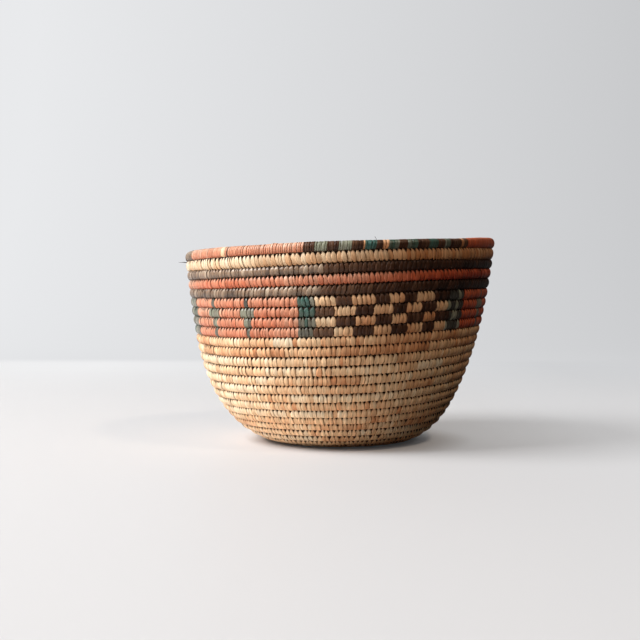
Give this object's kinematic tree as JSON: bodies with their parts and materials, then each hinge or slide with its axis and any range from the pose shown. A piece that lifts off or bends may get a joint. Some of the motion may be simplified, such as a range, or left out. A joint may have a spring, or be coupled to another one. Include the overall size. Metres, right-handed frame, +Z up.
{
  "type": "coiled basket",
  "caption": "Round open basket wound from one grass coil, with a flat base, a flaring wall, a dyed band of blocks and checks, and a wrapped rim",
  "frame": {"origin": "middle of the underside, on the surface that the basket stands on", "axes": "+Z up through the open top, -Y the front with a checked block in its middle, +X the front's right, where the rim stands a little higher"},
  "size_m": [0.2285, 0.2281, 0.15],
  "materials": {
    "natural_leaf": "raw split leaf, straw coloured, satin, fine fibres",
    "cream_leaf": "bleached split leaf, satin",
    "red_leaf": "split leaf dyed terracotta red, satin",
    "brown_leaf": "split leaf dyed dark brown, satin",
    "green_leaf": "split leaf dyed dull green, satin",
    "grass_bundle": "dry grass stems, matt"
  },
  "bodies": {
    "root": {"base_coil": "natural_leaf", "heel_coil": "natural_leaf", "lower_wall_coil": "natural_leaf", "middle_wall_coil": "natural_leaf", "upper_grass_coil": "grass_bundle", "band_row_1_red_block_1": "red_leaf", "band_row_1_checked_block_1": "green_leaf", "band_row_1_red_block_2": "red_leaf", "band_row_1_checked_block_2": "green_leaf", "band_row_1_red_block_3": "red_leaf", "band_row_1_checked_block_3": "green_leaf", "band_row_2_red_block_1": "red_leaf", "band_row_2_checked_block_1": "green_leaf", "band_row_2_red_block_2": "red_leaf", "band_row_2_checked_block_2": "green_leaf", "band_row_2_red_block_3": "red_leaf", "band_row_2_checked_block_3": "green_leaf", "band_row_3_red_block_1": "red_leaf", "band_row_3_checked_block_1": "green_leaf", "band_row_3_red_block_2": "red_leaf", "band_row_3_checked_block_2": "green_leaf", "band_row_3_red_block_3": "red_leaf", "band_row_3_checked_block_3": "green_leaf", "band_row_4_red_block_1": "red_leaf", "band_row_4_checked_block_1": "green_leaf", "band_row_4_red_block_2": "red_leaf", "band_row_4_checked_block_2": "green_leaf", "band_row_4_red_block_3": "red_leaf", "band_row_4_checked_block_3": "green_leaf", "lower_brown_row": "brown_leaf", "red_row": "red_leaf", "upper_brown_row": "brown_leaf", "cream_row": "cream_leaf", "rim_red_block_1": "red_leaf", "rim_checked_block_1": "green_leaf", "rim_red_block_2": "red_leaf", "rim_checked_block_2": "green_leaf", "rim_red_block_3": "red_leaf", "rim_checked_block_3": "green_leaf", "coil_tail": "green_leaf"}
  },
  "joints": []
}
